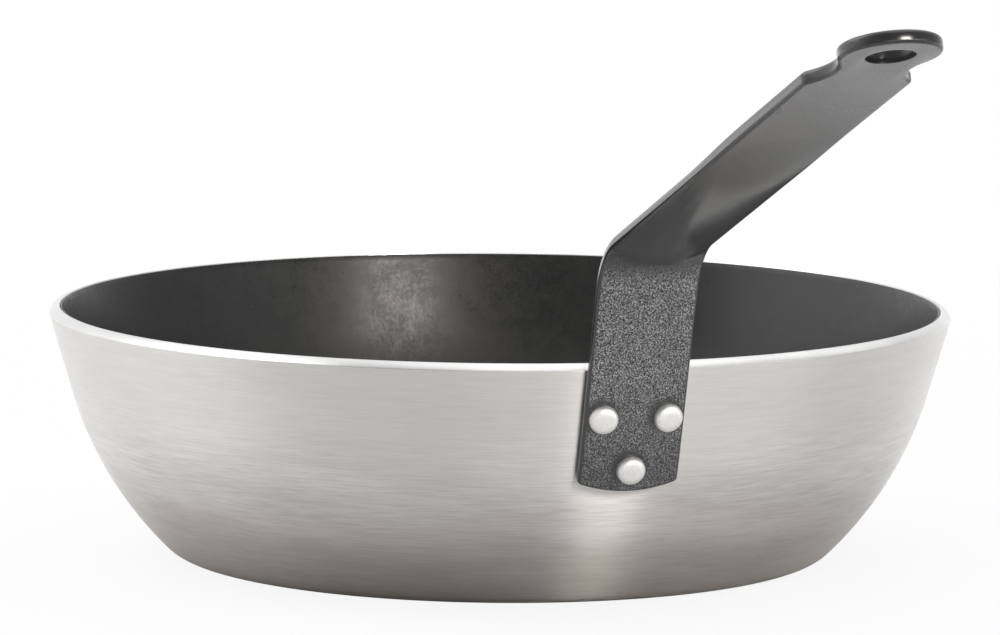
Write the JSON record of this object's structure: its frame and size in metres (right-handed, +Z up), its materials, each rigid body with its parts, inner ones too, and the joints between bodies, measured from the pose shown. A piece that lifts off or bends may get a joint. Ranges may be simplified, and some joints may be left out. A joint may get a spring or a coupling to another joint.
{
  "type": "saute pan",
  "caption": "Round saute pan with a curved, flaring aluminium wall, a dark non-stick lining and a bent strip-steel handle riveted to the wall and ending in a hanging eye.",
  "frame": {"origin": "centre of the flat underside of the base, on the pan's axis", "axes": "+Z up along the pan's axis, +X out towards the handle"},
  "size_m": [0.503, 0.2792, 0.1926],
  "materials": {
    "brushed_aluminium": "turned and brushed satin, with a bright dressed rim",
    "nonstick_coating": "matte, finely grained non-stick coating",
    "hammertone_paint": "dark grey baked enamel with a fine mottled hammertone grain",
    "rivet_aluminium": "smooth satin"
  },
  "bodies": {
    "root": {"pan_body": "brushed_aluminium", "nonstick_lining": "nonstick_coating", "handle": "hammertone_paint", "rivet_upper_left": "rivet_aluminium", "rivet_upper_right": "rivet_aluminium", "rivet_lower": "rivet_aluminium"}
  },
  "joints": []
}
